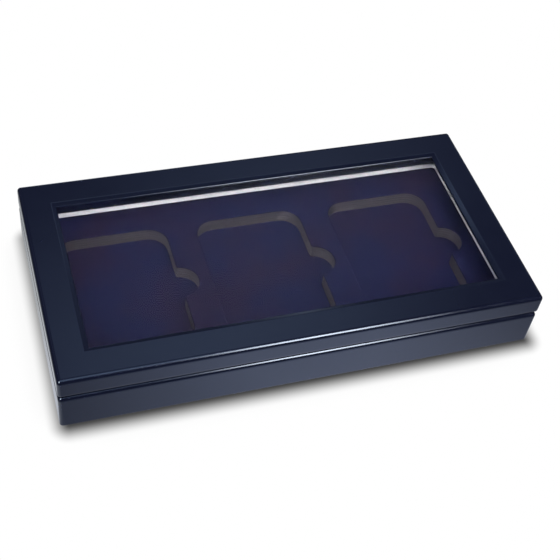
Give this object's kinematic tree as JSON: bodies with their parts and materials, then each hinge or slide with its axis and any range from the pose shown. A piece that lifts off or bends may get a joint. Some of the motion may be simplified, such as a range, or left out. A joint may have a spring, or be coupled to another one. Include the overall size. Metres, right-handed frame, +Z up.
{
  "type": "coin display case",
  "caption": "Shallow lacquered display case with a hinged, glazed lid and a velvet insert with recesses for coin slabs.",
  "frame": {"origin": "middle of the underside, on the surface that the case stands on", "axes": "+X along the width to the right, +Y from the front to the hinged back, +Z up"},
  "size_m": [0.264, 0.137, 0.0373],
  "materials": {
    "navy_lacquer": "deep navy high-gloss lacquer over fibreboard",
    "key_wood": "raw plywood keys",
    "panel_wood": "fibreboard panel with a navy coat",
    "felt": "short navy felt",
    "board": "grey board",
    "velvet": "blue-violet velvet, short nap",
    "foam": "grey-brown cut foam with fine layers",
    "silver_trim": "satin silver, fine lengthwise grain",
    "magnet": "nickel plated",
    "brass": "satin brass",
    "glass": "clear polished float glass"
  },
  "bodies": {
    "base": {"base_wall_front": "navy_lacquer", "base_wall_back": "navy_lacquer", "base_wall_left": "navy_lacquer", "base_wall_right": "navy_lacquer", "base_corner_keys": "key_wood", "base_panel": "panel_wood", "base_felt": "felt", "floor_board": "board", "floor_velvet": "velvet", "foam_core": "foam", "velvet_top": "velvet", "trim_strip": "silver_trim", "base_magnets": "magnet", "base_brads": "brass", "base_hinge_leaf_left": "brass", "hinge_pin_left": "brass", "base_hinge_leaf_right": "brass", "hinge_pin_right": "brass"},
    "lid": {"lid_rail_front": "navy_lacquer", "glass_bead_front": "navy_lacquer", "lid_rail_back": "navy_lacquer", "glass_bead_back": "navy_lacquer", "lid_rail_left": "navy_lacquer", "glass_bead_left": "navy_lacquer", "lid_rail_right": "navy_lacquer", "glass_bead_right": "navy_lacquer", "lid_corner_keys": "key_wood", "lid_magnets": "magnet", "lid_brads": "brass", "glass_pane": "glass", "lid_hinge_leaf_left": "brass", "lid_hinge_leaf_right": "brass"}
  },
  "joints": [
    {"name": "lid_hinge", "type": "hinge", "parent": "base", "child": "lid", "pos_m": [0, 0.0669, 0.02355], "axis": [-1, 0, 0], "range_deg": [0, 105]}
  ]
}
